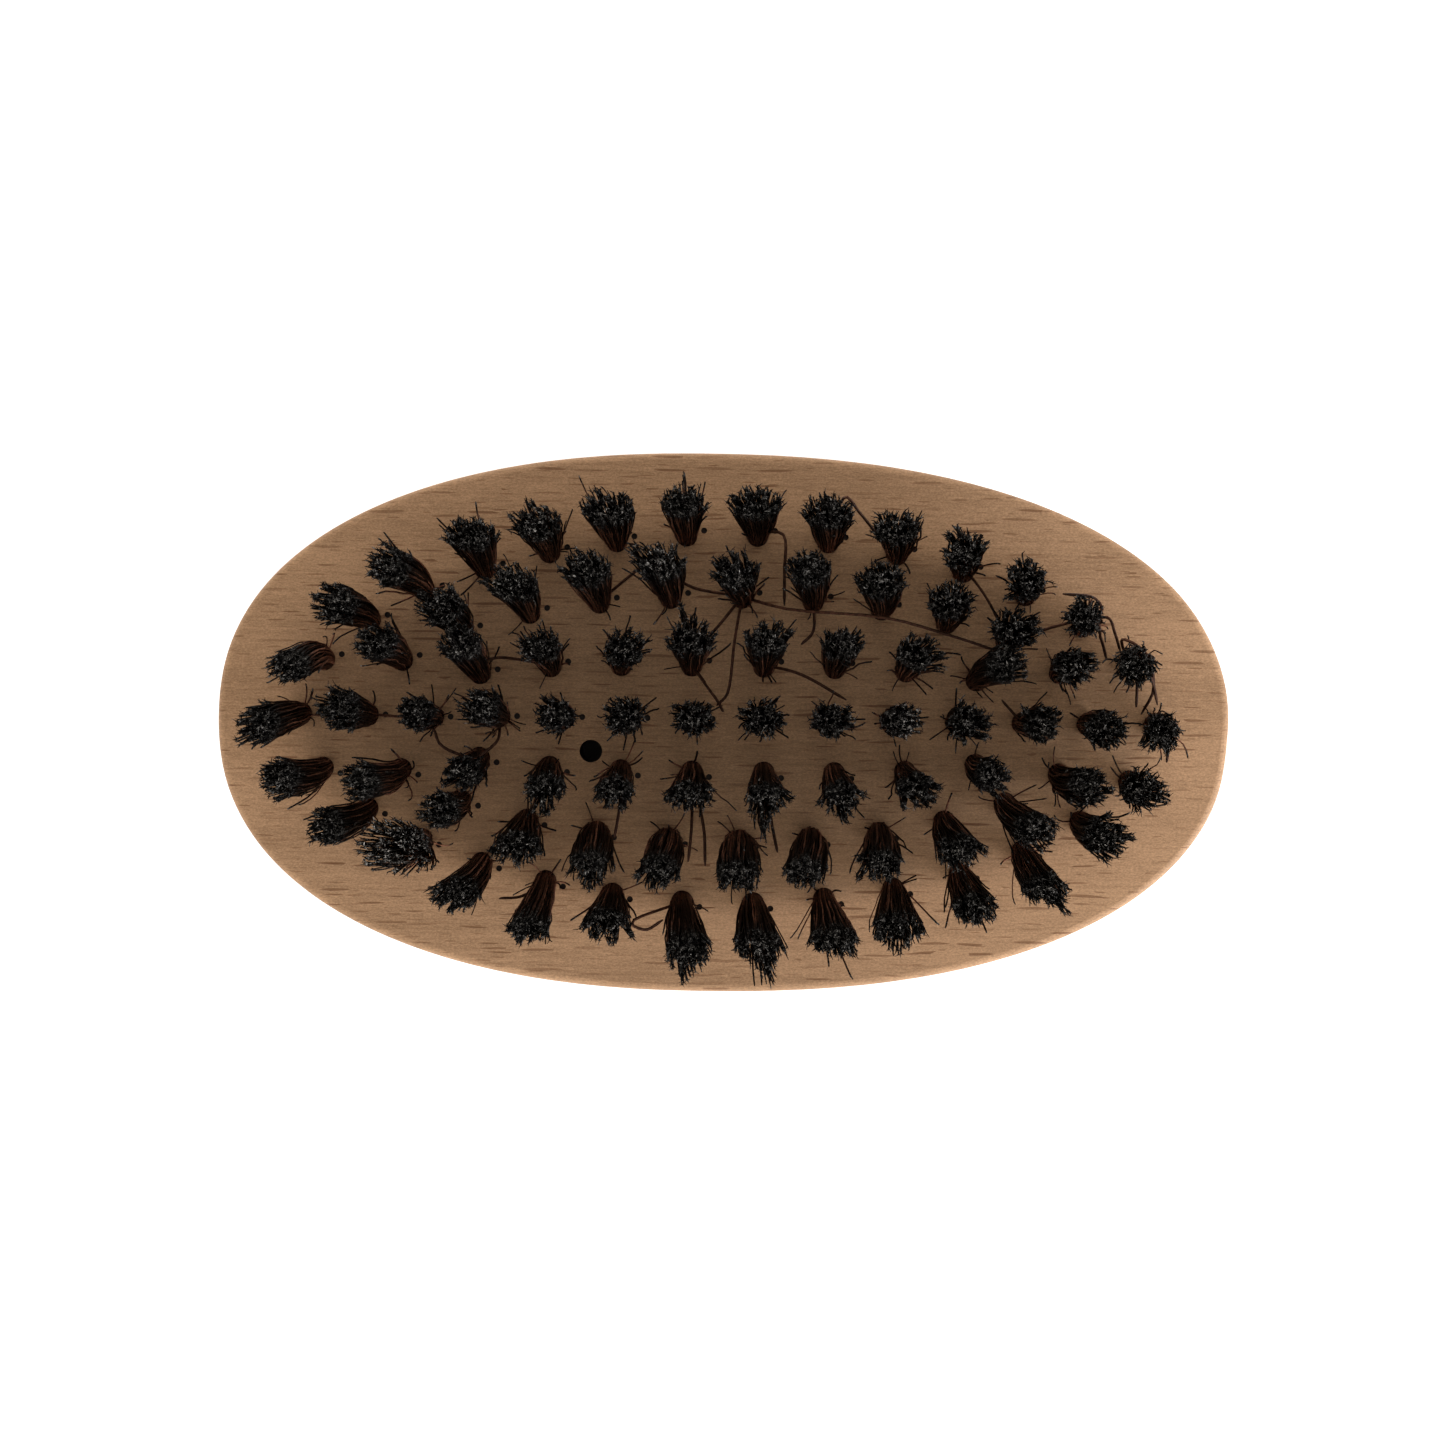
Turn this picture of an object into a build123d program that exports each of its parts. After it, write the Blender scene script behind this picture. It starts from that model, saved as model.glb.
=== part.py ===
from build123d import *

import bisect
import math
import os

# A palm-held clothes brush: an oval beech block with 80 tufts, each folded over a flat wire anchor.
# X runs along the brush, Y across it and Z up, from the flat of the back on the ground at Z = 0 to
# the trimmed ends of the bristles. The origin is the middle of the back. All sizes are millimetres.

# Block: a superellipse, bristle face up. Its fullness is 2 for an ellipse and more for a squarer oval. Its
# widest section is a little off the middle of its length, so the +X end is the more pointed one.
LENGTH = 116.4
WIDTH = 62.0
WIDEST_X = -1.9
FULLNESS = 2.27
OUTLINE_POINTS = 48
THICKNESS = 20.0
FACE_ROUND = 0.8
BACK_ROUND = 9.0

# Hole pattern: three oval rings about one straight centre line, a little off the block's own centre.
# A ring is a superellipse too. Its holes are nearly evenly spaced: side_shift slides those on both long
# sides towards +X, and crowding draws them in towards the two ends.
PATTERN_CENTRE = (0.5, 0.4)
CENTRE_COUNT = 8
CENTRE_PITCH = 7.5
RINGS = {
    "inner_ring": {
        "holes": 18,
        "semi_length": 33.9,
        "semi_width": 6.1,
        "fullness": 3.5,
        "side_shift": 0.0,
        "crowding": 0.0,
    },
    "middle_ring": {
        "holes": 24,
        "semi_length": 41.4,
        "semi_width": 14.0,
        "fullness": 2.1,
        "side_shift": 1.5,
        "crowding": 0.9,
    },
    "outer_ring": {
        "holes": 30,
        "semi_length": 49.1,
        "semi_width": 21.2,
        "fullness": 1.9,
        "side_shift": -0.9,
        "crowding": 1.3,
    },
}

# Every hole fans outwards across the brush: not at all on the centre line, and by the whole angle from
# FAN_REACH either side of it.
FAN_ANGLE = 10.0
FAN_REACH = 6.0

# One blind hole, and the small pit that the filling tool leaves beside it: MARK_OFFSET along the brush and
# up to MARK_SHIFT outwards across it, as the hole fans.
HOLE_RADIUS = 1.25
HOLE_DEPTH = 9.0
DRILL_POINT_DEPTH = 0.75
MARK_RADIUS = 0.35
MARK_DEPTH = 0.6
MARK_OFFSET = 2.0
MARK_SHIFT = 0.6

# The plain hole, which holds no tuft.
PLAIN_HOLE_AT = (-15.2, -3.5)
PLAIN_HOLE_RADIUS = 1.3
PLAIN_HOLE_DEPTH = 8.0

# Tuft: a round bundle that fills its hole and flares to its trimmed end.
TRIM_LENGTH = 17.0
TUFT_SLACK = 0.03
TIP_RADIUS = 2.85
FOLD_ROUND = 0.5
TUFTS_PER_NODE = 2

# Anchor: a flat piece of wire, wider than the hole, that bites into the wood on both sides.
ANCHOR_WIDTH = 3.1
ANCHOR_THICKNESS = 0.35
ANCHOR_HEIGHT = 1.6
ANCHOR_LIFT = 0.8


def outline_point(turn):
    """A point on the block's outline, at an angle about the middle of its widest section."""
    x, y = math.cos(turn), math.sin(turn)
    semi_length = LENGTH / 2 + (-WIDEST_X if x > 0 else WIDEST_X)
    share = (abs(x) / semi_length) ** FULLNESS + (abs(y) / (WIDTH / 2)) ** FULLNESS
    radius = share ** (-1 / FULLNESS)
    return WIDEST_X + radius * x, radius * y


def oval_trail(semi_length, semi_width, fullness, samples=3600):
    """Close-set points round a superellipse about the pattern's centre, anticlockwise from its +X end."""
    trail = []
    for sample in range(samples + 1):
        turn = 2 * math.pi * sample / samples
        x, y = math.cos(turn), math.sin(turn)
        along = math.copysign(semi_length * abs(x) ** (2 / fullness), x)
        across = math.copysign(semi_width * abs(y) ** (2 / fullness), y)
        trail.append((PATTERN_CENTRE[0] + along, PATTERN_CENTRE[1] + across))
    return trail


def ring_points(holes, semi_length, semi_width, fullness, side_shift, crowding):
    """The holes of one ring, anticlockwise from its +X end."""
    trail = oval_trail(semi_length, semi_width, fullness)
    walked = [0.0]
    for start, end in zip(trail, trail[1:]):
        walked.append(walked[-1] + math.dist(start, end))
    points = []
    for hole in range(holes):
        turn = 2 * math.pi * hole / holes
        even = walked[-1] * hole / holes
        distance = even - side_shift * math.sin(turn) - crowding * math.sin(2 * turn)
        points.append(trail[bisect.bisect_left(walked, distance)])
    return points


def fan_share(y):
    """The share of the whole fan angle that a hole at this Y takes, from -1 to 1."""
    return max(-1.0, min(1.0, (y - PATTERN_CENTRE[1]) / FAN_REACH))


def mouth_plane(x, y):
    """The mouth of one hole. Its Z runs out along the hole, which fans outwards across the brush."""
    fan = math.radians(FAN_ANGLE * fan_share(y))
    return Plane(origin=(x, y, THICKNESS), x_dir=(1, 0, 0), z_dir=(0, math.sin(fan), math.cos(fan)))


def hole_pattern():
    """The mouth of every hole, by ring."""
    middle_x, middle_y = PATTERN_CENTRE
    start = middle_x - (CENTRE_COUNT - 1) * CENTRE_PITCH / 2
    pattern = {"centre_line": [mouth_plane(start + i * CENTRE_PITCH, middle_y) for i in range(CENTRE_COUNT)]}
    for name, ring in RINGS.items():
        pattern[name] = [mouth_plane(x, y) for x, y in ring_points(**ring)]
    return pattern


def mark_point(mouth):
    """The middle of the pit beside one hole."""
    x, y = mouth.origin.X, mouth.origin.Y
    return x + MARK_OFFSET, y + MARK_SHIFT * fan_share(y)


def place_anchors(mouths, mode=Mode.ADD):
    """Add each anchor to the open part builder, near the bottom of its hole, or cut its slot there."""
    with Locations(*[mouth.offset(ANCHOR_LIFT - HOLE_DEPTH) for mouth in mouths]):
        Box(
            ANCHOR_WIDTH,
            ANCHOR_THICKNESS,
            ANCHOR_HEIGHT,
            align=(Align.CENTER, Align.CENTER, Align.MIN),
            mode=mode,
        )


def make_block(pattern):
    """One moulded and drilled piece of beech, with a slot cut by every anchor."""
    mouths = [mouth for ring in pattern.values() for mouth in ring]
    marks = [mark_point(mouth) for mouth in mouths]
    face = Plane.XY.offset(THICKNESS)
    outline = [outline_point(2 * math.pi * number / OUTLINE_POINTS) for number in range(OUTLINE_POINTS)]
    with BuildPart() as block:
        with BuildSketch():
            with BuildLine():
                Spline(*outline, periodic=True)
            make_face()
        extrude(amount=THICKNESS)
        fillet(block.edges().group_by(Axis.Z)[-1], FACE_ROUND)
        fillet(block.edges().group_by(Axis.Z)[0], BACK_ROUND)

        with Locations(*[mouth.offset(HOLE_RADIUS) for mouth in mouths]):
            Hole(HOLE_RADIUS, HOLE_DEPTH + HOLE_RADIUS)
        with Locations(*[mouth.offset(-HOLE_DEPTH) for mouth in mouths]):
            Cone(
                bottom_radius=0,
                top_radius=HOLE_RADIUS,
                height=DRILL_POINT_DEPTH,
                align=(Align.CENTER, Align.CENTER, Align.MAX),
                mode=Mode.SUBTRACT,
            )
        place_anchors(mouths, mode=Mode.SUBTRACT)

        with BuildSketch(face):
            with Locations(*marks):
                Circle(MARK_RADIUS)
        extrude(amount=-MARK_DEPTH, mode=Mode.SUBTRACT)
        with BuildSketch(face):
            with Locations(PLAIN_HOLE_AT):
                Circle(PLAIN_HOLE_RADIUS)
        extrude(amount=-PLAIN_HOLE_DEPTH, mode=Mode.SUBTRACT)
    block.part.label = "block"
    export_step(block.part, "parts/block.step")


def make_anchors(name, mouths):
    """One ring's anchors, each a short flat piece of steel wire."""
    with BuildPart() as anchors:
        place_anchors(mouths)
    anchors.part.label = name
    export_step(anchors.part, f"parts/{name}.step")


def make_tufts(name, mouths):
    """A few neighbouring tufts, each one solid round its anchor, trimmed level with all the others."""
    root = HOLE_RADIUS - TUFT_SLACK
    foot = TUFT_SLACK - HOLE_DEPTH
    untrimmed = TRIM_LENGTH * 1.1
    flare = (TIP_RADIUS - root) / TRIM_LENGTH
    with BuildPart() as tufts:
        for mouth in mouths:
            lengthwise = Plane(origin=mouth.origin, x_dir=mouth.x_dir, z_dir=-mouth.y_dir)
            with BuildSketch(lengthwise):
                with BuildLine():
                    Polyline(
                        (0, foot),
                        (root - FOLD_ROUND, foot),
                        (root, foot + FOLD_ROUND),
                        (root, 0),
                        (root + flare * untrimmed, untrimmed),
                        (0, untrimmed),
                        close=True,
                    )
                make_face()
            revolve(axis=Axis(mouth.origin, mouth.z_dir))
        place_anchors(mouths, mode=Mode.SUBTRACT)
        split(bisect_by=Plane.XY.offset(THICKNESS + TRIM_LENGTH), keep=Keep.BOTTOM)
    tufts.part.label = name
    export_step(tufts.part, f"parts/{name}.step")


def main():
    os.makedirs("parts", exist_ok=True)
    pattern = hole_pattern()
    make_block(pattern)
    for ring, mouths in pattern.items():
        make_anchors(f"{ring}_anchors", mouths)
        for number, first in enumerate(range(0, len(mouths), TUFTS_PER_NODE), start=1):
            make_tufts(f"{ring}_tufts_{number:02}", mouths[first : first + TUFTS_PER_NODE])


main()
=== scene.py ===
"""A palm-held clothes brush: an oval beech block and 80 tufts of dark natural bristle.

Everything is in metres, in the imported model's frame: X along the brush, Y across it, Z up out of the
bristle face, and the flat of the back on the floor at Z = 0.
"""

import math

import bpy
import numpy as np
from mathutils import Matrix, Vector


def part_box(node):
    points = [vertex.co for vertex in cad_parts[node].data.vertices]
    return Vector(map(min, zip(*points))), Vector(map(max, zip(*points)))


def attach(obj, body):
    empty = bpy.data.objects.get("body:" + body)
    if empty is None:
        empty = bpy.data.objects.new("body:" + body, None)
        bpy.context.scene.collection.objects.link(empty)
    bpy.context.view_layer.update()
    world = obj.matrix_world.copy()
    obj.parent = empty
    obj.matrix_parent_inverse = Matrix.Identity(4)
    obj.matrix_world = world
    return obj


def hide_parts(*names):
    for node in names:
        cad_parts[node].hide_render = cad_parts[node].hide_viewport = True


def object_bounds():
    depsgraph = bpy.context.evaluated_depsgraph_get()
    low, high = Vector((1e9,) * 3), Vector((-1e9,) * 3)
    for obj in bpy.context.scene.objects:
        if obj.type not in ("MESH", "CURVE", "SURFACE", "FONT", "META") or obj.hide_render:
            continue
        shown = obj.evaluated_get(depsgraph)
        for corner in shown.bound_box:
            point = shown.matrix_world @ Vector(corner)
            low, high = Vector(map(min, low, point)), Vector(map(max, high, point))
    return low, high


MM = 0.001
SEED = 21

# Camera: straight above the brush, turned a little so that the brush lies not quite square to it.
CAMERA_ABOVE_FACE = 357 * MM
CAMERA_LENS = 77.3
CAMERA_TURN = math.radians(0.83)
CAMERA_X = -0.1 * MM

# The floor is this far below the back, so that the two aren't in one plane.
FLOOR_GAP = 0.1 * MM
FLOOR_REACH = 6.0

# The sky's brightness low down and overhead, the heights between which it changes, and how much of it comes
# and goes towards the key light and away from it.
SKY_LOW = 2.28
SKY_OVERHEAD = 0.76
SKY_HEIGHTS = (0.05, 0.75)
SKY_SWING = 0.42

# How far across the grain the rows of the beech's rays waver.
RAY_WAVER = 0.6 * MM

# The walls of the holes get painted shade between these depths below the face, down to between these heights
# above the back, and no nearer to the block's outline than this.
WALL_DEPTHS = (0.05 * MM, 0.35 * MM)
WALL_HEIGHTS = (8.6 * MM, 9.2 * MM)
WALL_INSET = 3 * MM

# How far a tuft's trimmed end lies from straight above its hole, in millimetres along X and Y: a sum of
# 1, cos(turn), sin(turn), cos(2 turn) and sin(2 turn), in these shares. Turn is the tuft's place round its
# ring, anticlockwise from the +X end. On the centre line, cos(turn) is its place from -1 to 1 along X. The
# shares aren't chosen by hand: a scratch program fitted them to offsets read off the photo by eye.
LEANS = {
    "centre_line": ((0.0, 0.4, 0.0, 0.0, 0.0), (0.0, 0.0, 0.0, 0.0, 0.0)),
    "inner_ring": ((0.1, 0.5, 0.0, 0.0, 0.0), (0.1, -0.2, 2.6, 0.0, 0.0)),
    "middle_ring": ((-0.6, 0.8, -0.4, 0.0, -0.5), (0.0, -0.6, 3.2, 0.0, 0.0)),
    "outer_ring": ((-1.0, 0.7, -0.4, -1.1, -0.6), (-0.6, -0.4, 3.2, 0.0, 0.0)),
}

# The tufts that lean their own way, by their number in the ring. A scratch program listed them, as the
# offsets furthest from the fit, to half a millimetre. Only middle 14 and outer 15 were changed.
WAYWARD = {
    "centre_line": {1: (-1.0, 1.0)},
    "inner_ring": {2: (2.0, 1.5), 7: (1.0, 1.5), 9: (-1.0, 3.0), 11: (-0.5, -1.5), 12: (0.5, -2.0)},
    "middle_ring": {
        7: (-1.0, 2.0), 14: (-2.8, -1.1), 15: (-1.0, -0.5), 16: (0.0, -2.5), 17: (0.0, -3.0),
        20: (-1.0, -3.0), 21: (-0.5, -3.0), 23: (2.0, -2.5), 24: (1.5, -1.0),
    },
    "outer_ring": {
        12: (-0.5, 3.0), 13: (-2.5, 2.0), 15: (-1.7, -1.3), 16: (-2.5, -1.5), 19: (-1.5, 0.0),
        21: (-1.0, -4.5), 22: (0.0, -2.5), 23: (1.0, -4.5), 26: (-0.5, -3.5), 28: (1.0, -3.5),
        29: (1.0, -1.0), 30: (-0.5, -0.5),
    },
}

# Long bristles that have escaped from a tuft, by ring and place in it. Each is a route from the tuft's
# root, in millimetres from the middle of the brush and above the bristle face. The routes were picked by eye
# on the photo, with their heights guessed, and a scratch program turned most of them into millimetres.
STRAYS = {
    ("middle_ring", 7): [
        [(7.4, 12.7, 10), (17.4, 11.9, 13), (24.6, 10.1, 13), (30.8, 8.2, 12)],
        [(1.1, 9.3, 7), (0.5, 3.7, 9), (-0.8, 1.9, 8)],
        [(-3.5, 15.2, 5), (-6.5, 17.0, 9)],
        [(-1.0, 10.6, 6), (-3.0, 8.6, 9)],
    ],
    ("inner_ring", 6): [[(-1.6, 3.7, 7), (-0.5, 2.2, 8), (0, 1.2, 8)]],
    ("outer_ring", 7): [[(12.9, 25.0, 14), (15.0, 23.3, 12), (17.5, 20.7, 8)]],
    ("outer_ring", 8): [[(6.4, 20.9, 13), (6.6, 17.2, 10), (6.7, 13.3, 7)]],
    ("outer_ring", 5): [[(27.9, 16.4, 9), (29.5, 13.8, 11), (30.8, 11.2, 11)]],
    ("middle_ring", 3): [[(40.3, 12.0, 13), (42.0, 9.8, 11), (43.0, 7.7, 8)]],
    ("outer_ring", 2): [
        [(45.7, 8.2, 13), (47.8, 5.5, 10), (49.2, 2.7, 5)],
        [(44.4, 9.9, 10), (47.0, 8.2, 12), (48.3, 4.4, 8), (47.5, 1.6, 4)],
        [(46.4, 5.4, 8), (46.0, 2.4, 11)],
    ],
    ("outer_ring", 3): [
        [(42.3, 13.0, 8), (41.0, 14.5, 12), (37.4, 14.8, 13)],
        [(42.9, 12.4, 9), (43.4, 10.6, 12), (44.2, 8.5, 11)],
    ],
    ("outer_ring", 1): [[(49.7, -1.2, 10), (49.2, -3.7, 13)]],
    ("middle_ring", 13): [[(-33.6, -0.4, 6), (-31.5, -3.0, 10), (-28.3, -4.4, 11)]],
    ("centre_line", 1): [[(-25.3, -2.3, 9), (-27.2, -4.2, 11)]],
    ("inner_ring", 8): [[(-24.5, 6.9, 8), (-26.6, 6.6, 10)]],
    ("inner_ring", 13): [[(-11.5, -9.4, 10), (-11.9, -12.9, 14)]],
    ("inner_ring", 14): [[(-3.4, -11.0, 9), (-3.7, -15.5, 13)], [(-2.1, -11.5, 9), (-1.8, -15.9, 13)]],
    ("inner_ring", 15): [[(5.5, -10.8, 9), (6.2, -14.3, 13)]],
    ("outer_ring", 23): [[(-9.8, -22.4, 8), (-8.3, -23.3, 10), (-6.4, -22.1, 11)]],
    ("outer_ring", 21): [[(-22.4, -19.9, 8), (-24.7, -20.0, 11)]],
    ("middle_ring", 9): [[(-10.5, 16.4, 10), (-8.3, 18.0, 12)]],
    ("inner_ring", 5): [[(8.7, 5.5, 8), (13.7, 2.7, 11)]],
    ("middle_ring", 6): [[(10.0, 10.6, 7), (8.6, 8.9, 8)]],
    ("inner_ring", 1): [[(33.3, 0.8, 8), (31.1, 3.0, 10)]],
}

# Tufts with one clump drawn out to a point, and how far in millimetres along X and Y.
POINTS = {
    ("outer_ring", 19): (1.4, -0.8),
    ("outer_ring", 23): (-0.3, -2.2),
    ("outer_ring", 24): (0.5, -2.4),
    ("outer_ring", 26): (0.2, -1.3),
    ("outer_ring", 28): (0.8, -1.2),
    ("middle_ring", 17): (0.1, -1.6),
    ("middle_ring", 8): (-1.2, 0.8),
    ("inner_ring", 12): (0.0, -1.8),
    ("inner_ring", 15): (-0.2, -2.8),
    ("inner_ring", 16): (0.1, -1.5),
    ("inner_ring", 6): (-0.2, 1.2),
}

# How widely the tufts of a ring spread along X and Y, and the tufts that spread otherwise, as shares of
# TIP_REACH.
RING_SPREADS = {
    "centre_line": (0.95, 0.93),
    "inner_ring": (0.88, 0.95),
    "middle_ring": (1.0, 1.0),
    "outer_ring": (1.0, 1.0),
}
SPREADS = {
    ("outer_ring", 19): (1.8, 1.2),
    ("outer_ring", 9): (0.85, 0.85),
    ("outer_ring", 15): (0.90, 0.90),
    ("outer_ring", 17): (0.85, 0.85),
    ("outer_ring", 18): (0.90, 0.90),
    ("outer_ring", 21): (0.80, 0.90),
    ("middle_ring", 6): (0.82, 1.0),
    ("middle_ring", 8): (0.88, 1.0),
    ("middle_ring", 14): (0.95, 0.88),
    ("middle_ring", 17): (0.82, 1.0),
    ("middle_ring", 18): (0.80, 1.0),
    ("middle_ring", 19): (0.80, 1.0),
    ("middle_ring", 20): (0.78, 1.0),
    ("middle_ring", 21): (0.88, 1.0),
}

# The tufts that swell just above their holes, in millimetres, and those whose ends get more painted highlight
# than most.
SWELLINGS = {
    ("middle_ring", 17): 1.1,
    ("middle_ring", 18): 1.4,
    ("middle_ring", 19): 1.4,
    ("middle_ring", 20): 1.4,
    ("middle_ring", 21): 0.8,
}
END_HIGHLIGHTS = {("outer_ring", 19): 2.2, ("centre_line", 7): 1.8, ("middle_ring", 8): 1.5}

# One tuft. Each bristle is folded double round the anchor, so a tuft has two ends for each, and each end
# is split into finer hairs. All are tubes, which turn their first side away from a slanting direction.
BRISTLES = 110
SPLITS = 3
TUBE_SIDES = 3
ASKEW = (1.0, 0.2, 0.1)
BRISTLE_RADII = (0.08 * MM, 0.13 * MM)
SPLIT_RADIUS = 0.055 * MM
STRAY_RADIUS = 0.20 * MM
ANCHOR_CLEARANCE = 0.34 * MM

# How unevenly its bristles stand, and how far out they do so where they leave the wood and at their ends. It
# is pressed flat the way that it leans and spreads the other way, and one that leans to +Y spreads more.
PLACE_SCATTER = 0.35
ROOT_REACH = 1.14 * MM
TIP_REACH = np.array([2.46, 2.15]) * MM
TIP_REACH_RANGE = (0.90, 1.10)
LEAN_SQUEEZE = 0.07 / MM
LEAN_WIDEN = 0.06 / MM
FAR_SIDE_WIDEN = 0.015 / MM

# Its clumps: how many there are, how far out they lie, how strongly they draw their bristles in, more so the
# pointed ones, how much further out those reach, and how unevenly they all lie and stand. Bristles join their
# clump near their ends. Then the place and width of the one clump that is drawn out, as shares of the tuft.
LOCKS = (16, 24)
LOCK_REACH = 0.92
LOCK_PULL = 0.22
POINTED_LOCK_PULL = 0.45
POINTED_LOCK_REACH = 0.40
LOCK_SCATTER = 0.05
LOCK_LIFT = 0.28 * MM
LOCK_POWER = 5
DRAWN_CLUMP_PLACE = 0.8
DRAWN_CLUMP_WIDTH = 0.35

# Its ends: how unevenly they lie and stand, and the shares that are short, that stand astray, and that
# are whiskers near its root.
END_SCATTER = 0.08 * MM
END_RISE = 0.25 * MM
SHORT_SHARE = 0.12
SHORT_DROP = (0.5 * MM, 3.0 * MM)
ASTRAY_SHARE = 0.035
ASTRAY_REACH = (0.2 * MM, 1.5 * MM)
ASTRAY_SCATTER = 0.5 * MM
ASTRAY_DROP = (0.0, 3.0 * MM)
WHISKER_SHARE = 0.02
WHISKER_REACH = (1.0 * MM, 3.2 * MM)
WHISKER_HEIGHTS = (0.12, 0.5)

# Its legs: how much of the bend to its lean they take, how far they swell above the hole, their waves from
# root to end, and the curl of their ends.
BEND_RANGE = (0.35, 0.95)
BELLY = (-0.3 * MM, 0.6 * MM)
WAVE_TURNS = (0.8, 2.6)
WAVE_REACH = 0.15 * MM
TIP_CURL = 0.15 * MM
CURL_POWER = 12

# Its folds: how deep in the hole the shoulders lie, and how much deeper those of the outer bristles do, how
# far they draw in along X and Y, and how much deeper still the bend between them is.
FOLD_DEPTH = 0.93
FOLD_DEPTH_SPREAD = 0.015
SHOULDER_PLACE = (0.95, 0.75, 1.0)
BEND_DEPTH = 0.05

# The fine hairs: how far each starts below its bristle's end, how far past that end it reaches, and how far
# aside it has gone by that end and by its own.
SPLIT_START = (0.4 * MM, 0.8 * MM)
SPLIT_LENGTH = (0.0, 0.45 * MM)
SPLIT_ASIDE = 0.17 * MM
ASIDE_AT_END = 0.4
ASIDE_AT_TIP = 1.2

# The rings of a bristle, from one end over the fold to the other, as heights up the leg. The hole is below
# zero. Those of its fine hairs follow, and how thin each ends.
LEG_STEPS = np.array([1.0, 0.96, 0.80, 0.62, 0.42, 0.22, 0.05])
HOLE_STEPS = np.array([0.80])
LEG_HEIGHTS = np.concatenate([LEG_STEPS, -HOLE_STEPS])
FOLD_HEIGHTS = [-1.0, -1.0, -1.0]
RING_HEIGHTS = np.concatenate([LEG_HEIGHTS, FOLD_HEIGHTS, LEG_HEIGHTS[::-1]])
SPLIT_HEIGHTS = np.array([0.93, 0.98, 1.0])
TIP_TAPER = 0.7
SPLIT_TAPER = 0.5

# A stray starts this far down its hole, as a share of the depth, and is as brown at its end as another
# bristle is at this height.
STRAY_START = 0.3
STRAY_HEIGHT = 0.6

# Each point's place up its bristle, that bristle's own shade, and its painted highlight. The highlight starts
# at a share of the bristle's height, and is least round the edge of the tuft. The strays all have one shade.
ATTRIBUTES = ("reach", "shade", "end_highlight")
HIGHLIGHT_FROM = 0.74
HIGHLIGHT_EDGE = 1.25
HIGHLIGHT_LIMITS = (0.15, 1.0)
STRAY_SHADE = 0.65

# The share of a tuft's map, from bottom to top, that its bristles, its split ends and its strays each take,
# the gap on either side of a strip there, as a share of its place, and the height that a strip fills.
BRISTLE_BAND = (0.0, 0.66)
SPLIT_BAND = (0.68, 0.92)
STRAY_BAND = (0.94, 1.0)
STRIP_GAP = 0.08
STRIP_HEIGHT = 0.9

# Finding the CAD tufts: points this close are one, and a tuft's foot and top are the points within these
# heights of its lowest and its highest.
SAME_POINT = 0.001 * MM
FOOT_HEIGHT = 0.25 * MM
TOP_HEIGHT = 0.05 * MM


def add_node(tree, kind, inputs=None, **settings):
    """A new node, with its settings made and its inputs either linked or given a value."""
    node = tree.nodes.new(kind)
    for name, value in settings.items():
        setattr(node, name, value)
    for name, value in (inputs or {}).items():
        if isinstance(value, bpy.types.NodeSocket):
            tree.links.new(value, node.inputs[name])
        else:
            node.inputs[name].default_value = value
    return node


def calculate(tree, operation, *values):
    """The output of a Math node."""
    return add_node(tree, "ShaderNodeMath", dict(enumerate(values)), operation=operation).outputs[0]


def vector_calculate(tree, operation, *values):
    """The output of a Vector Math node."""
    node = add_node(tree, "ShaderNodeVectorMath", dict(enumerate(values)), operation=operation)
    return node.outputs["Value" if operation in ("LENGTH", "DOT_PRODUCT") else "Vector"]


def rescale(tree, value, low, high, to_low=0.0, to_high=1.0):
    """value, mapped smoothly from one range to another and kept inside it."""
    inputs = {"Value": value, "From Min": low, "From Max": high, "To Min": to_low, "To Max": to_high}
    return add_node(tree, "ShaderNodeMapRange", inputs, interpolation_type="SMOOTHSTEP").outputs["Result"]


def mix_colours(tree, factor, first, second, blend="MIX"):
    """Two colours mixed by a factor."""
    node = tree.nodes.new("ShaderNodeMix")
    node.data_type = "RGBA"
    node.blend_type = blend
    factor_in, first_in, second_in = node.inputs[0], node.inputs[6], node.inputs[7]
    for socket, value in ((factor_in, factor), (first_in, first), (second_in, second)):
        if isinstance(value, bpy.types.NodeSocket):
            tree.links.new(value, socket)
        else:
            socket.default_value = value
    return node.outputs[2]


def noise(tree, place, detail=2.0, roughness=0.5):
    """A noise value from 0 to 1 at a place where one unit is one feature."""
    inputs = {"Vector": place, "Scale": 1.0, "Detail": detail, "Roughness": roughness}
    return add_node(tree, "ShaderNodeTexNoise", inputs).outputs["Fac"]


def new_material(name):
    """A material with its node tree and its one shader."""
    material = bpy.data.materials.new(name)
    material.use_nodes = True
    tree = material.node_tree
    return material, tree, tree.nodes["Principled BSDF"]


def finish_surface(tree, shader, colour, roughness, bump, bump_depth):
    """Link the shader's colour, roughness and bump."""
    tree.links.new(colour, shader.inputs["Base Color"])
    tree.links.new(roughness, shader.inputs["Roughness"])
    inputs = {"Height": bump, "Distance": bump_depth, "Strength": 1.0}
    tree.links.new(add_node(tree, "ShaderNodeBump", inputs).outputs["Normal"], shader.inputs["Normal"])


def object_place(tree, feature):
    """Object coordinates in which one unit is one feature, whose size is given along X, Y and Z."""
    place = add_node(tree, "ShaderNodeTexCoord").outputs["Object"]
    return vector_calculate(tree, "MULTIPLY", place, tuple(1 / size for size in feature))


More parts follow.
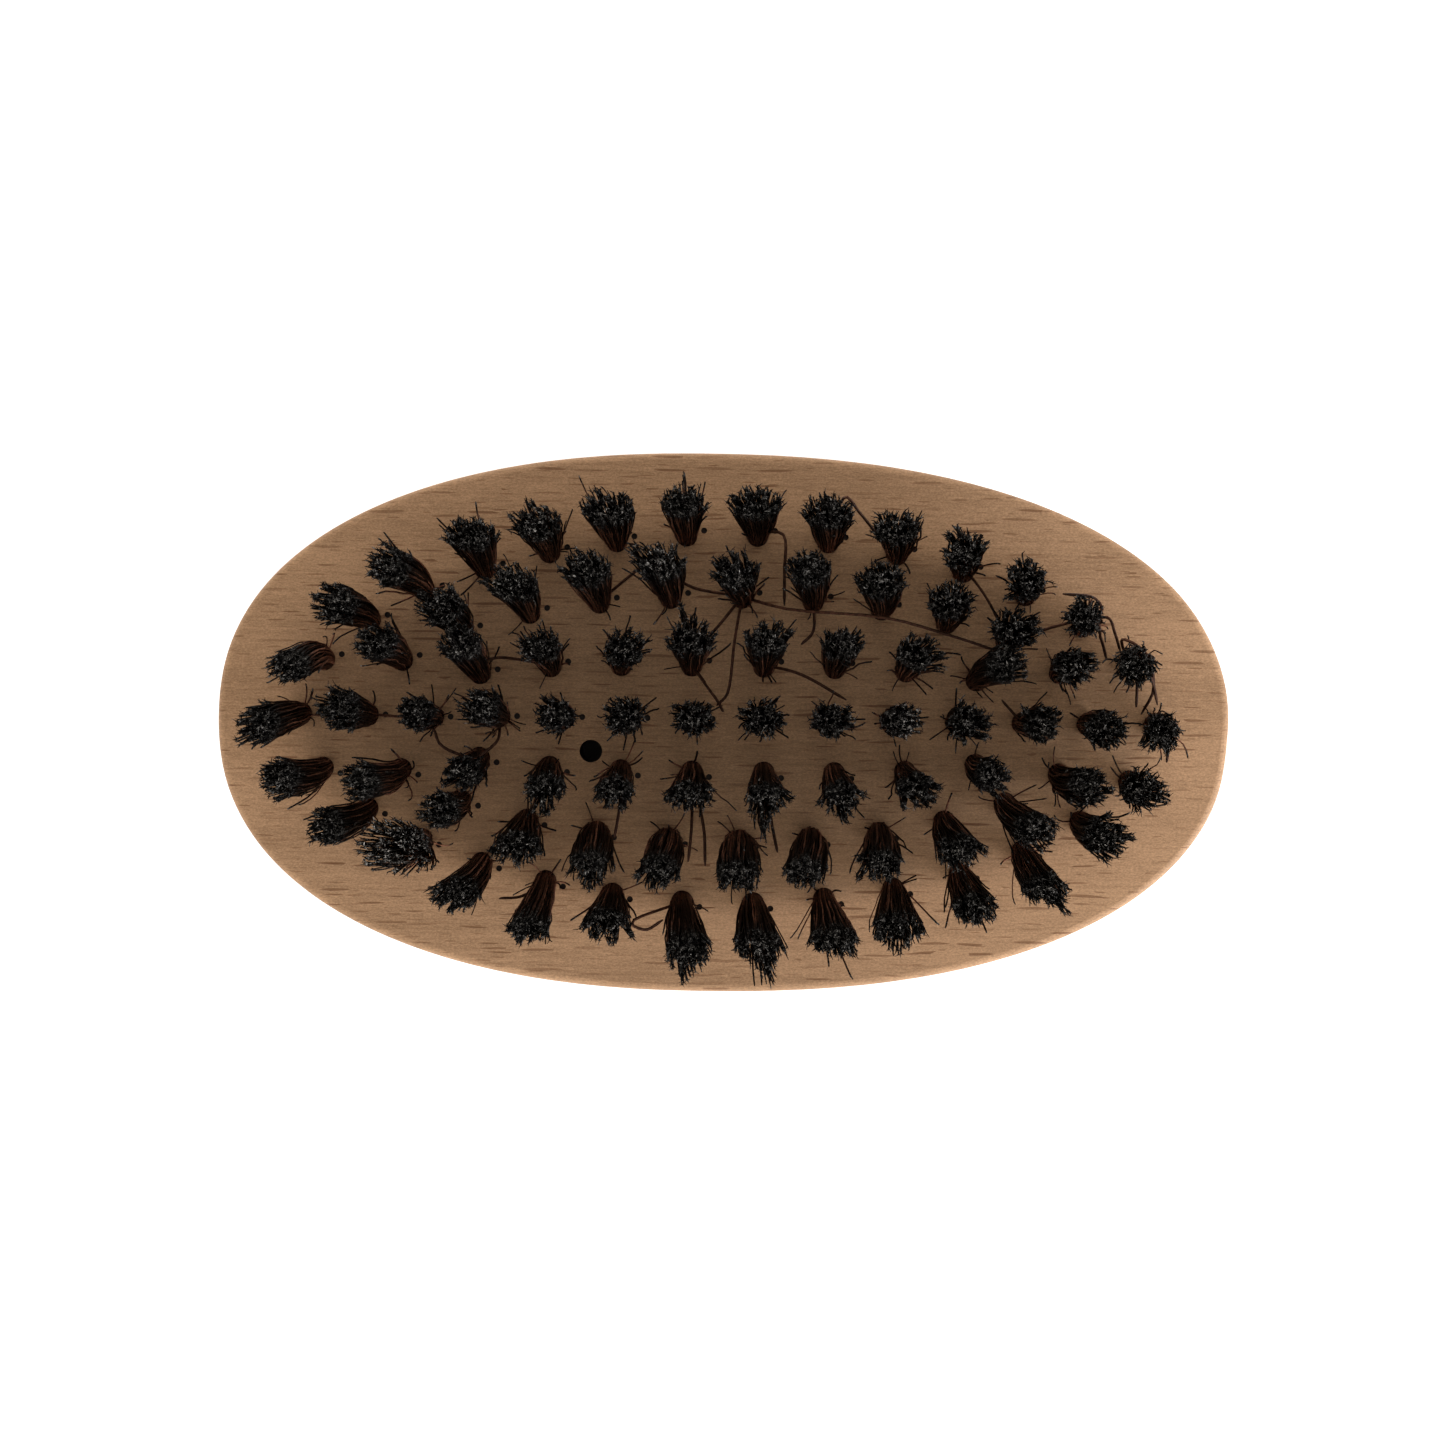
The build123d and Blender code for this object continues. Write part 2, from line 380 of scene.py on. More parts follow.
def ray_flecks(tree, cell, length, thickness, share):
    """Beech's short dark rays: one thin plate along the grain in some of a lattice's cells."""
    waver = noise(tree, object_place(tree, (9 * MM, 3 * MM, 9 * MM)), detail=1.0)
    across = calculate(tree, "MULTIPLY", waver, RAY_WAVER / cell[1])
    shift = add_node(tree, "ShaderNodeCombineXYZ", {"Y": across}).outputs["Vector"]
    place = vector_calculate(tree, "ADD", object_place(tree, cell), shift)
    cells = add_node(tree, "ShaderNodeTexVoronoi", {"Vector": place, "Scale": 1.0})
    chance = add_node(tree, "ShaderNodeSeparateColor", {"Color": cells.outputs["Color"]})
    away = vector_calculate(tree, "SUBTRACT", place, cells.outputs["Position"])
    away = vector_calculate(tree, "MULTIPLY", away, (2 * cell[0] / length, 2 * cell[1] / thickness, 0.0))
    size = rescale(tree, chance.outputs["Green"], 0.0, 1.0, 0.45, 1.0)
    distance = calculate(tree, "DIVIDE", vector_calculate(tree, "LENGTH", away), size)
    plate = rescale(tree, distance, 1.0, 0.60)
    there = rescale(tree, chance.outputs["Red"], 1.0 - share, 1.02 - share)
    depth = rescale(tree, chance.outputs["Blue"], 0.0, 1.0, 0.35, 1.0)
    return calculate(tree, "MULTIPLY", calculate(tree, "MULTIPLY", plate, there), depth)


def beech_material(block_low, block_high):
    """Oiled beech: pale fibre along the grain, soft bands of tone, and short dark rays."""
    material, tree, shader = new_material("oiled_beech")
    bands = noise(tree, object_place(tree, (60 * MM, 7 * MM, 26 * MM)), detail=3.0)
    fibre = noise(tree, object_place(tree, (6 * MM, 0.45 * MM, 2.2 * MM)), detail=4.0, roughness=0.6)
    grain = noise(tree, object_place(tree, (0.9 * MM, 0.26 * MM, 0.6 * MM)), detail=3.0, roughness=0.7)
    rays = ray_flecks(
        tree,
        cell=(6.2 * MM, 1.35 * MM, 15 * MM),
        length=5.5 * MM,
        thickness=0.40 * MM,
        share=0.60,
    )
    small_rays = ray_flecks(
        tree,
        cell=(3.4 * MM, 0.95 * MM, 8 * MM),
        length=2.6 * MM,
        thickness=0.26 * MM,
        share=0.55,
    )

    pale, deep = (0.446, 0.255, 0.136, 1.0), (0.300, 0.166, 0.083, 1.0)
    # The near-black second colour here is painted shade for the walls of the holes and pits.
    ray_brown, recess_shade = (0.150, 0.058, 0.018, 1.0), (0.020, 0.009, 0.005, 1.0)
    tone = calculate(tree, "MULTIPLY", bands, 0.36)
    tone = calculate(tree, "MULTIPLY_ADD", fibre, 0.30, tone)
    tone = calculate(tree, "MULTIPLY_ADD", grain, 0.34, tone)
    colour = mix_colours(tree, rescale(tree, tone, 0.36, 0.64), deep, pale)
    pores = noise(tree, object_place(tree, (0.30 * MM, 0.17 * MM, 0.2 * MM)), detail=2.0, roughness=0.8)
    colour = mix_colours(tree, 1.0, colour, rescale(tree, pores, 0.30, 0.70, 0.78, 1.22), "MULTIPLY")

    # On the sides the rays lie flat to the surface and hardly show.
    normal = add_node(tree, "ShaderNodeNewGeometry").outputs["Normal"]
    upright = add_node(tree, "ShaderNodeSeparateXYZ", {"Vector": normal}).outputs["Z"]
    across = rescale(tree, calculate(tree, "ABSOLUTE", upright), 0.35, 0.90, 0.15, 1.0)
    rays = calculate(tree, "MULTIPLY", rays, across)
    small_rays = calculate(tree, "MULTIPLY", small_rays, across)
    colour = mix_colours(tree, calculate(tree, "MULTIPLY", rays, 0.76), colour, ray_brown)
    colour = mix_colours(tree, calculate(tree, "MULTIPLY", small_rays, 0.60), colour, ray_brown)

    # The walls of the drilled holes and of the tool's pits get painted shade: below the face, and well
    # inside.
    face = block_high.z
    reach_x, reach_y = block_high.x - WALL_INSET, block_high.y - WALL_INSET
    place = add_node(tree, "ShaderNodeTexCoord").outputs["Object"]
    height = add_node(tree, "ShaderNodeSeparateXYZ", {"Vector": place}).outputs["Z"]
    under = rescale(tree, height, face - WALL_DEPTHS[0], face - WALL_DEPTHS[1])
    above = rescale(tree, height, block_low.z + WALL_HEIGHTS[0], block_low.z + WALL_HEIGHTS[1])
    flat = vector_calculate(tree, "MULTIPLY", place, (1 / reach_x, 1 / reach_y, 0.0))
    inside = rescale(tree, vector_calculate(tree, "LENGTH", flat), 1.0, 0.99)
    wall_shade_mask = calculate(tree, "MULTIPLY", calculate(tree, "MULTIPLY", under, above), inside)
    colour = mix_colours(tree, wall_shade_mask, colour, recess_shade)

    roughness = rescale(tree, tone, 0.2, 0.8, 0.66, 0.54)
    bump = calculate(tree, "MULTIPLY_ADD", grain, 0.35, fibre)
    bump = calculate(tree, "SUBTRACT", bump, calculate(tree, "MULTIPLY", rays, 0.5))
    finish_surface(tree, shader, colour, roughness, bump, 0.035 * MM)
    shader.inputs["Specular IOR Level"].default_value = 0.38
    return material


def bristle_material():
    """Dark natural bristle: red-brown where it leaves the wood, near black above, with a painted grey
    highlight where it is cut.
    """
    material, tree, shader = new_material("dark_bristle")
    reach = add_node(tree, "ShaderNodeAttribute", attribute_name="reach").outputs["Fac"]
    shade = add_node(tree, "ShaderNodeAttribute", attribute_name="shade").outputs["Fac"]
    end_highlight = add_node(tree, "ShaderNodeAttribute", attribute_name="end_highlight").outputs["Fac"]
    scales = noise(tree, object_place(tree, (0.5 * MM, 0.5 * MM, 0.9 * MM)), detail=3.0, roughness=0.6)
    highlight_patches = noise(tree, object_place(tree, (0.5 * MM, 0.5 * MM, 0.5 * MM)), detail=2.0, roughness=0.7)

    # Some bristles are browner than the rest below their ends, and some ends get a painted grey highlight.
    root, warm = (0.110, 0.047, 0.029, 1.0), (0.320, 0.142, 0.090, 1.0)
    shaft, tip = (0.0200, 0.0100, 0.0068, 1.0), (0.0039, 0.0032, 0.0030, 1.0)
    grey = (0.430, 0.398, 0.372, 1.0)
    colour = mix_colours(tree, rescale(tree, reach, 0.02, 0.55), root, shaft)
    colour = mix_colours(tree, rescale(tree, reach, 0.60, 0.95), colour, tip)
    brown = calculate(tree, "MULTIPLY", rescale(tree, shade, 0.58, 1.0), rescale(tree, reach, 0.95, 0.55))
    colour = mix_colours(tree, brown, colour, warm)
    # The grey on the cut ends is a painted highlight, in patches and stronger on some bristles than others.
    highlit = calculate(tree, "MULTIPLY", rescale(tree, highlight_patches, 0.49, 0.66), end_highlight)
    highlit = calculate(tree, "MULTIPLY", highlit, rescale(tree, shade, 0.0, 1.0, 0.25, 1.0))
    colour = mix_colours(tree, highlit, colour, grey)
    colour = mix_colours(tree, 1.0, colour, rescale(tree, scales, 0.25, 0.75, 0.45, 1.50), "MULTIPLY")

    roughness = rescale(tree, scales, 0.2, 0.8, 0.50, 0.72)
    finish_surface(tree, shader, colour, roughness, scales, 0.02 * MM)
    shader.inputs["Specular IOR Level"].default_value = 0.04
    return material


def steel_material():
    """Drawn steel wire, with fine lines along it."""
    material, tree, shader = new_material("drawn_steel")
    lines = noise(tree, object_place(tree, (3 * MM, 0.05 * MM, 0.06 * MM)), detail=3.0)
    dull = noise(tree, object_place(tree, (1 * MM, 1 * MM, 1 * MM)), detail=2.0)
    dark, bright = (0.30, 0.30, 0.31, 1.0), (0.50, 0.49, 0.47, 1.0)
    colour = mix_colours(tree, dull, dark, bright)
    finish_surface(tree, shader, colour, rescale(tree, lines, 0.2, 0.8, 0.28, 0.5), lines, 0.01 * MM)
    shader.inputs["Metallic"].default_value = 1.0
    return material


def floor_material():
    """A pale matt floor, lit from within a little so that it stays white to its edges."""
    material, tree, shader = new_material("pale_floor")
    mottle = noise(tree, object_place(tree, (60 * MM, 60 * MM, 60 * MM)), detail=3.0)
    colour = mix_colours(tree, mottle, (0.90, 0.90, 0.90, 1.0), (0.93, 0.93, 0.93, 1.0))
    tree.links.new(colour, shader.inputs["Base Color"])
    shader.inputs["Roughness"].default_value = 0.95
    shader.inputs["Specular IOR Level"].default_value = 0.0
    shader.inputs["Emission Color"].default_value = (1.0, 1.0, 1.0, 1.0)
    shader.inputs["Emission Strength"].default_value = 0.6
    return material


def mesh_points(mesh):
    """A mesh's points, one row each."""
    flat = np.zeros(3 * len(mesh.vertices))
    mesh.vertices.foreach_get("co", flat)
    return flat.reshape(-1, 3)


def separate_solids(node):
    """The points of each separate solid in a CAD node."""
    points = mesh_points(node.data)
    _, same = np.unique(np.round(points / SAME_POINT), axis=0, return_inverse=True)
    same = same.ravel()
    edges = np.zeros(2 * len(node.data.edges), int)
    node.data.edges.foreach_get("vertices", edges)
    starts, ends = same[edges.reshape(-1, 2)].T
    group = np.arange(same.max() + 1)
    settled = False
    while not settled:
        lowest = np.minimum(group[starts], group[ends])
        joined = group.copy()
        np.minimum.at(joined, starts, lowest)
        np.minimum.at(joined, ends, lowest)
        settled = np.array_equal(joined, group)
        group = joined
    of_point = group[same]
    return [points[of_point == solid] for solid in np.unique(of_point)]


def middle(points):
    """The middle of the points' box."""
    return (points.min(0) + points.max(0)) / 2


def tuft_axis(solid, face):
    """Where a tuft's solid ends in its hole, where it leaves the wood, and where it is trimmed."""
    foot = middle(solid[solid[:, 2] < solid[:, 2].min() + FOOT_HEIGHT])
    top = middle(solid[solid[:, 2] > solid[:, 2].max() - TOP_HEIGHT])
    mouth = foot + (top - foot) * (face - foot[2]) / (top[2] - foot[2])
    return {"foot": foot, "mouth": mouth, "top": top}


def find_tufts(nodes, ring, face):
    """A ring's tufts in order: anticlockwise from its +X end, or along +X on the centre line."""
    tufts = []
    for name in sorted(nodes):
        if name.startswith(ring + "_tufts"):
            for solid in separate_solids(nodes[name]):
                tufts.append({"node": name, **tuft_axis(solid, face)})
    if ring == "centre_line":
        return sorted(tufts, key=lambda tuft: tuft["mouth"][0])
    centre = middle(np.array([tuft["mouth"] for tuft in tufts]))
    slack = math.pi / len(tufts) / 4

    def turn(tuft):
        """The tuft's place round the ring. The slack keeps the one at the +X end first."""
        across, along = tuft["mouth"][1] - centre[1], tuft["mouth"][0] - centre[0]
        return (math.atan2(across, along) + slack) % (2 * math.pi)

    return sorted(tufts, key=turn)


def spread_points(count, random):
    """Points spread evenly over a unit disc, each moved a little."""
    number = np.arange(count) + 0.5
    radius = np.sqrt(number / count)
    turn = number * math.pi * (3 - math.sqrt(5)) + random.uniform(0, 2 * math.pi)
    points = np.column_stack([radius * np.cos(turn), radius * np.sin(turn)])
    return points + random.normal(0, PLACE_SCATTER / math.sqrt(count), points.shape)


def gather_into_locks(flat, random):
    """Where bristles stand once they have drawn together into clumps, and how much longer each clump is.
    A few clumps reach out to a point."""
    locks = spread_points(random.integers(*LOCKS), random) * LOCK_REACH
    nearest = np.argmin(np.linalg.norm(flat[:, None] - locks[None], axis=2), axis=1)
    point = random.random((len(locks), 1)) ** 3
    pull = (LOCK_PULL + POINTED_LOCK_PULL * point)[nearest]
    outer = np.linalg.norm(locks, axis=1, keepdims=True)
    moved = locks * (1 + POINTED_LOCK_REACH * point * outer) + random.normal(0, LOCK_SCATTER, locks.shape)
    lift = random.normal(0, LOCK_LIFT, (len(locks), 1))
    return flat + (locks[nearest] - flat) * pull + (moved - locks)[nearest], lift[nearest]


def paired_roots(random):
    """Places in a unit disc for all the ends of a tuft: those on one side of the anchor, in order along
    it, and then those on the other. A bristle has the same place in both halves."""
    disc = spread_points(2 * BRISTLES, random)
    disc = disc[np.argsort(disc[:, 1])]
    return np.concatenate([half[np.argsort(half[:, 0])] for half in np.split(disc, 2)])


def draw_out(flat, point):
    """How far each bristle's end goes along with the one clump that is drawn out to a point."""
    length = np.linalg.norm(point)
    if length == 0:
        return np.zeros(flat.shape)
    away = np.linalg.norm(flat - point / length * DRAWN_CLUMP_PLACE, axis=1, keepdims=True)
    return point * np.exp(-((away / DRAWN_CLUMP_WIDTH) ** 2))


def tuft_legs(tuft, shape, random):
    """Both legs of each bristle, as points down from their ends to beside the anchor."""
    height = tuft["top"][2] - tuft["mouth"][2]
    depth = tuft["mouth"][2] - tuft["foot"][2]
    axis = (tuft["top"] - tuft["mouth"]) / height
    lean = shape["lean"]
    flat = paired_roots(random)
    count = len(flat)

    def each(low, high, width=1):
        return random.uniform(low, high, (count, width))

    # Where each end would stand round the tuft's middle.
    flattened = 1 - LEAN_SQUEEZE * np.abs(lean) + LEAN_WIDEN * np.abs(lean[::-1])
    flattened += FAR_SIDE_WIDEN * lean[1]
    reach = TIP_REACH * shape["spread"] * flattened * random.uniform(*TIP_REACH_RANGE, 2)
    outward = flat / np.maximum(np.linalg.norm(flat, axis=1, keepdims=True), 0.1)
    astray = random.random((count, 1)) < ASTRAY_SHARE
    ends = flat * reach + draw_out(flat, shape["point"]) + random.normal(0, END_SCATTER, flat.shape)
    ends += astray * (outward * each(*ASTRAY_REACH) + random.normal(0, ASTRAY_SCATTER, ends.shape))
    clumped, lift = gather_into_locks(flat, random)
    clump = (clumped - flat) * reach
    short = random.random((count, 1)) < SHORT_SHARE
    rise = lift + random.normal(0, END_RISE, (count, 1)) - short * each(*SHORT_DROP)
    rise -= astray * each(*ASTRAY_DROP)

    # A leg leaves along its hole, bends to the tuft's own lean, swells a little, joins its clump near the
    # end and curls there.
    roots = np.column_stack([flat * ROOT_REACH, np.zeros(count)])
    tips = np.column_stack([ends + lean, height + rise])
    aside = flat * ROOT_REACH + outward * each(*WHISKER_REACH)
    whiskers = np.column_stack([aside, height * each(*WHISKER_HEIGHTS)])
    whisker = random.random((count, 1)) < WHISKER_SHARE
    tips = np.where(whisker, whiskers, tips)
    clump = np.where(whisker, 0.0, clump)
    bend = (axis[:2] * height - lean) * each(*BEND_RANGE)
    up = LEG_STEPS[None, :, None]
    above = roots[:, None] + (tips - roots)[:, None] * up
    above[:, :, :2] += bend[:, None] * up * (1 - up)
    above[:, :, :2] += (flat * (each(*BELLY) + shape["swelling"]))[:, None] * np.sqrt(up) * (1 - up)
    above[:, :, :2] += clump[:, None] * up**LOCK_POWER
    turns = each(*WAVE_TURNS) * 2 * math.pi * LEG_STEPS[None] + each(0, 2 * math.pi)
    wave = np.sin(turns)[:, :, None] * each(-WAVE_REACH, WAVE_REACH, 2)[:, None] * np.sqrt(up)
    wave += random.normal(0, TIP_CURL, (count, 1, 2)) * up**CURL_POWER
    above[:, :, :2] += np.where(whisker[:, :, None], 0.0, wave)

    # In the hole it moves aside for the anchor.
    beside = roots.copy()
    side = np.where(beside[:, 1] < 0, -1.0, 1.0)
    beside[:, 1] = side * np.maximum(np.abs(beside[:, 1]), ANCHOR_CLEARANCE)
    within = beside[:, None] - axis * depth * HOLE_STEPS[None, :, None]
    lines = tuft["mouth"] + np.concatenate([above, within], axis=1)
    # How much painted highlight each end gets: least round the edge of the tuft.
    end_highlight = shape["end_highlight"] * np.clip(HIGHLIGHT_EDGE - np.linalg.norm(flat, axis=1), *HIGHLIGHT_LIMITS)
    return {"lines": lines, "packed": beside, "end_highlight": end_highlight, "loose": (whisker | astray).ravel()}, axis, depth


def split_lines(legs, random):
    """The fine hairs that each end in a clump is split into."""
    ends = np.repeat(legs[:, 0], SPLITS, axis=0)
    below = np.repeat(legs[:, 1], SPLITS, axis=0)
    ahead = (ends - below) / np.linalg.norm(ends - below, axis=1, keepdims=True)
    aside = random.normal(0, SPLIT_ASIDE, ends.shape)
    starts = ends - ahead * random.uniform(*SPLIT_START, (len(ends), 1))
    tips = ends + ahead * random.uniform(*SPLIT_LENGTH, (len(ends), 1)) + aside * ASIDE_AT_TIP
    return np.stack([starts, ends + aside * ASIDE_AT_END, tips], axis=1)


def fold_points(tuft, packed, axis, depth):
    """Where each bristle turns under the anchor: two shoulders and the bottom of the bend."""
    near, far = packed[:BRISTLES], packed[BRISTLES:]
    reach = np.abs(near[:, 1:2]) / ROOT_REACH
    down = axis * depth * (FOLD_DEPTH + FOLD_DEPTH_SPREAD * reach)
    places = [near * SHOULDER_PLACE, (near + far) / 2, far * SHOULDER_PLACE]
    falls = [0.0, BEND_DEPTH, 0.0]
    return np.stack(
        [tuft["mouth"] + place - down - axis * depth * fall for place, fall in zip(places, falls)],
        axis=1,
    )


def stray_line(tuft, route, face):
    """A stray bristle's line, smooth through its route, with as many points as a folded bristle has."""
    inside = tuft["mouth"] + (tuft["foot"] - tuft["mouth"]) * STRAY_START
    points = [np.array((x, y, z)) * MM + (0, 0, face) for x, y, z in route]
    knots = np.array([inside, tuft["mouth"], *points])
    before = 2 * knots[0] - knots[1]
    after = 2 * knots[-1] - knots[-2]
    padded = np.vstack([before, knots, after])
    line = []
    for place in np.linspace(0, len(knots) - 1, len(RING_HEIGHTS)):
        span = min(int(place), len(knots) - 2)
        t = place - span
        p0, p1, p2, p3 = padded[span : span + 4]
        line.append(
            0.5 * (2 * p1 + (p2 - p0) * t + (2 * p0 - 5 * p1 + 4 * p2 - p3) * t**2
                   + (3 * p1 - p0 - 3 * p2 + p3) * t**3)
        )
    return np.array(line)


def sweep_tubes(lines, radii, thickness):
    """Tubes along lines of equally many points: the points of each tube's rings."""
    ahead = np.gradient(lines, axis=1)
    ahead /= np.linalg.norm(ahead, axis=2, keepdims=True)
    side = np.cross(ahead[:, 0], ASKEW)
    turns = np.arange(TUBE_SIDES) * 2 * math.pi / TUBE_SIDES
    rings = []
    for ring in range(lines.shape[1]):
        along = ahead[:, ring]
        side = side - along * np.sum(side * along, axis=1, keepdims=True)
        side /= np.linalg.norm(side, axis=1, keepdims=True)
        other = np.cross(along, side)
        cosine, sine = np.cos(turns)[None, :, None], np.sin(turns)[None, :, None]
        round_it = side[:, None] * cosine + other[:, None] * sine
        reach = (radii * thickness[ring])[:, None, None]
        rings.append(lines[:, ring][:, None] + round_it * reach)
    return np.stack(rings, axis=1)


def tube_faces(tubes, rings, band):
    """The faces of the tubes, and where each face's corners lie in a band of the map, in upright strips."""
    faces, corners = [], []
    rows = math.ceil(tubes / BRISTLES)
    row_height = (band[1] - band[0]) / rows
    for tube in range(tubes):
        first = tube * rings * TUBE_SIDES
        left, width = (tube // rows + STRIP_GAP) / BRISTLES, (1 - 2 * STRIP_GAP) / BRISTLES / TUBE_SIDES
        bottom = band[0] + (tube % rows) * row_height
        heights = [bottom + STRIP_HEIGHT * row_height * ring / (rings - 1) for ring in range(rings)]
        for ring in range(rings - 1):
            low, high = heights[ring], heights[ring + 1]
            for k in range(TUBE_SIDES):
                a = first + ring * TUBE_SIDES + k
                b = first + ring * TUBE_SIDES + (k + 1) % TUBE_SIDES
                faces.append((a, b, b + TUBE_SIDES, a + TUBE_SIDES))
                u, v = left + k * width, left + (k + 1) * width
                corners += [(u, low), (v, low), (v, high), (u, high)]
        last = first + (rings - 1) * TUBE_SIDES
        around = range(TUBE_SIDES)
        faces += [tuple(first + k for k in reversed(around)), tuple(last + k for k in around)]
        corners += [(left + k * width, heights[0]) for k in reversed(around)]
        corners += [(left + k * width, heights[-1]) for k in around]
    return faces, corners


def join_tubes(name, bundles):
    """A mesh of several bundles of tubes."""
    points, faces, corners = [], [], []
    values = {attribute: [] for attribute in ATTRIBUTES}
    for bundle in bundles:
        tubes = sweep_tubes(bundle["lines"], bundle["radii"], bundle["thickness"])
        new_faces, new_corners = tube_faces(*tubes.shape[:2], bundle["band"])
        before = sum(len(part) for part in points)
        faces += [tuple(corner + before for corner in face) for face in new_faces]
        corners += new_corners
        points.append(tubes.reshape(-1, 3))
        for attribute in ATTRIBUTES:
            each_ring = np.broadcast_to(bundle[attribute], tubes.shape[:2])
            values[attribute].append(np.repeat(each_ring.ravel(), TUBE_SIDES))
    mesh = bpy.data.meshes.new(name)
    mesh.from_pydata(np.concatenate(points).tolist(), [], faces)
    mesh.polygons.foreach_set("use_smooth", [True] * len(mesh.polygons))
    for attribute in ATTRIBUTES:
        layer = mesh.attributes.new(attribute, "FLOAT", "POINT")
        layer.data.foreach_set("value", np.concatenate(values[attribute]).astype(np.float32))
    strips = mesh.uv_layers.new(name="OFBake")
    strips.data.foreach_set("uv", np.array(corners, np.float32).ravel())
    mesh.update()
    return mesh


def folded_bristles(tuft, legs, axis, depth, random):
    """A tuft's bristles, each from one end, down round the anchor and up to its other end."""
    folds = fold_points(tuft, legs["packed"], axis, depth)
    near, far = np.split(legs["end_highlight"][:, None], 2)
    # The painted highlight lies only near the ends; the fold gets none.
    highlit = np.clip((LEG_HEIGHTS - HIGHLIGHT_FROM) / (1 - HIGHLIGHT_FROM), 0, 1)
    no_highlight = np.zeros((BRISTLES, len(FOLD_HEIGHTS)))
    return {
        "lines": np.concatenate([legs["lines"][:BRISTLES], folds, legs["lines"][BRISTLES:, ::-1]], axis=1),
        "radii": random.uniform(*BRISTLE_RADII, BRISTLES),
        "thickness": np.concatenate([[TIP_TAPER], np.ones(len(RING_HEIGHTS) - 2), [TIP_TAPER]]),
        "reach": RING_HEIGHTS,
        "shade": random.random((BRISTLES, 1)),
        "end_highlight": np.concatenate([near * highlit, no_highlight, far * highlit[::-1]], axis=1),
        "band": BRISTLE_BAND,
    }


def split_ends(legs, random):
    """The fine hairs at the ends of a tuft's bristles, but not of those that stand loose."""
    held = ~legs["loose"]
    lines = split_lines(legs["lines"][held], random)
    return {
        "lines": lines,
        "radii": np.full(len(lines), SPLIT_RADIUS),
        "thickness": np.array([1.0, 1.0, SPLIT_TAPER]),
        "reach": SPLIT_HEIGHTS,
        "shade": random.random((len(lines), 1)),
        "end_highlight": np.repeat(legs["end_highlight"][held], SPLITS)[:, None],
        "band": SPLIT_BAND,
    }


def stray_bristles(tuft, routes, face):
    """A tuft's long escaped bristles."""
    return {
        "lines": np.array([stray_line(tuft, route, face) for route in routes]),
        "radii": np.full(len(routes), STRAY_RADIUS),
        "thickness": np.concatenate([np.ones(len(RING_HEIGHTS) - 1), [SPLIT_TAPER]]),
        "reach": np.linspace(0.0, STRAY_HEIGHT, len(RING_HEIGHTS)),
        "shade": STRAY_SHADE,
        "end_highlight": 0.0,
        "band": STRAY_BAND,
    }


def make_tuft(name, tuft, shape, strays, face, material, seed):
    """One tuft as a mesh of separate bristles."""
    random = np.random.default_rng(seed)
    legs, axis, depth = tuft_legs(tuft, shape, random)
    bundles = [folded_bristles(tuft, legs, axis, depth, random), split_ends(legs, random)]
    if strays:
        bundles.append(stray_bristles(tuft, strays, face))
    mesh = join_tubes(name, bundles)
    mesh.materials.append(material)
    piece = bpy.data.objects.new(name, mesh)
    bpy.context.scene.collection.objects.link(piece)
    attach(piece, "root")
    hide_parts(tuft["node"])


def tuft_lean(ring, number, count):
    """How far a tuft's trimmed end lies from straight above its hole, along X and Y."""
    if number in WAYWARD[ring]:
        return np.array(WAYWARD[ring][number]) * MM
    turn = 2 * math.pi * (number - 1) / count
    if ring == "centre_line":
        turn = math.acos(2 * (number - 1) / (count - 1) - 1)
    terms = (1.0, math.cos(turn), math.sin(turn), math.cos(2 * turn), math.sin(2 * turn))
    return np.array([np.dot(shares, terms) for shares in LEANS[ring]]) * MM


def make_tufts(nodes, face, material):
    """Every tuft, ring by ring."""
    seed = SEED
    for ring in LEANS:
        tufts = find_tufts(nodes, ring, face)
        for number, tuft in enumerate(tufts, start=1):
            seed += 1
            place = (ring, number)
            name = f"{ring}_tuft_{number:02}"
            shape = {
                "lean": tuft_lean(ring, number, len(tufts)),
                "spread": np.array(SPREADS.get(place, RING_SPREADS[ring])),
                "point": np.array(POINTS.get(place, (0.0, 0.0))) * MM,
                "swelling": SWELLINGS.get(place, 0.0) * MM,
                "end_highlight": END_HIGHLIGHTS.get(place, 1.0),
            }
            make_tuft(name, tuft, shape, STRAYS.get(place, []), face, material, seed)


def dress_frame(nodes):
    """The block and the anchors keep their CAD shapes and get their finished materials."""
    beech, steel = beech_material(*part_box("block")), steel_material()
    for name, node in nodes.items():
        if name == "block":
            node.material_slots[0].material = beech
        elif name.endswith("_anchors"):
            node.material_slots[0].material = steel


def add_camera(face):
    """The camera, level and looking straight down."""
    data = bpy.data.cameras.new("camera")
    data.sensor_width = 36.0
    data.lens = CAMERA_LENS
    data.clip_start = 0.01
    camera = bpy.data.objects.new("camera", data)
    camera.location = (CAMERA_X, 0.0, face + CAMERA_ABOVE_FACE)
    camera.rotation_euler = (0.0, 0.0, CAMERA_TURN)
    bpy.context.scene.collection.objects.link(camera)
    bpy.context.scene.camera = camera


def add_area_light(name, place, target, size, watts, colour):
    """A round soft light, turned to its target."""
    data = bpy.data.lights.new(name, "AREA")
    data.shape = "DISK"
    data.size = size
    data.energy = watts
    data.color = colour
    light = bpy.data.objects.new(name, data)
    light.location = place
    light.rotation_euler = (Vector(target) - Vector(place)).to_track_quat("-Z", "Y").to_euler()
    bpy.context.scene.collection.objects.link(light)


